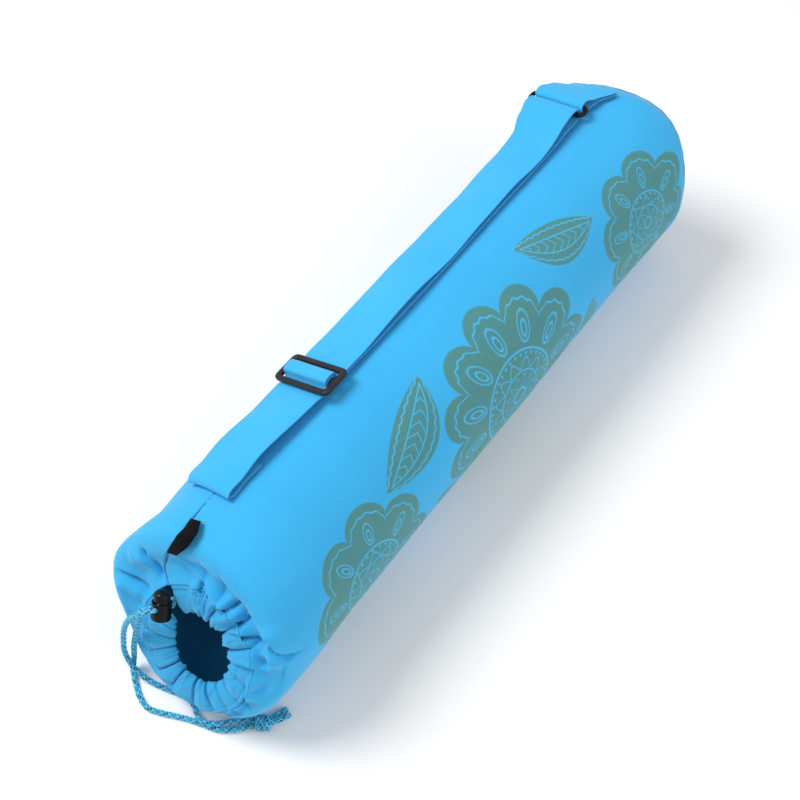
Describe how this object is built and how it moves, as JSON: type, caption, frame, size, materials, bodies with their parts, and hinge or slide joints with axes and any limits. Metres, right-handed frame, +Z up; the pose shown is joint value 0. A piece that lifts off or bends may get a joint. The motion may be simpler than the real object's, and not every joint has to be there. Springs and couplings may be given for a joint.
{
  "type": "yoga mat bag",
  "caption": "Soft cylindrical carry bag with a gathered drawstring mouth, cord lock, round end panel and an adjustable webbing shoulder strap with slider and ring.",
  "frame": {"origin": "on the floor, under the middle of the bag, on the strip where the bag's round side rests", "axes": "+X along the bag towards its closed end, the drawstring mouth is at -X, +Z up, +Y on the side that the shoulder strap leans to"},
  "size_m": [0.6925, 0.1783, 0.182],
  "materials": {
    "bag_cloth": "plain woven cotton or polyester canvas, cyan blue, with a large olive and teal flower print, matt with a soft sheen",
    "strap_cloth": "the bag's cloth folded to a flat strap and topstitched along its edges",
    "cord_braid": "light cyan braided cord with darker blue threads",
    "black_plastic": "moulded black plastic, satin",
    "label_cloth": "plain black woven loop, blank"
  },
  "bodies": {
    "root": {"side_panel": "bag_cloth", "end_panel": "bag_cloth", "drawstring_casing": "bag_cloth", "shoulder_strap": "strap_cloth", "strap_tab": "strap_cloth", "slider": "black_plastic", "ring": "black_plastic", "label": "label_cloth", "cord_lock_body": "black_plastic", "cord_a": "cord_braid", "cord_b": "cord_braid", "cord_knot": "cord_braid"},
    "lock_button": {"cord_lock_button": "black_plastic"}
  },
  "joints": [
    {"name": "lock_press", "type": "slide", "parent": "root", "child": "lock_button", "axis": [-0.5648, -0.2747, -0.7782], "range_m": [0, 0.0035], "stiffness_N_per_m": 600, "springref_m": -0.003}
  ]
}
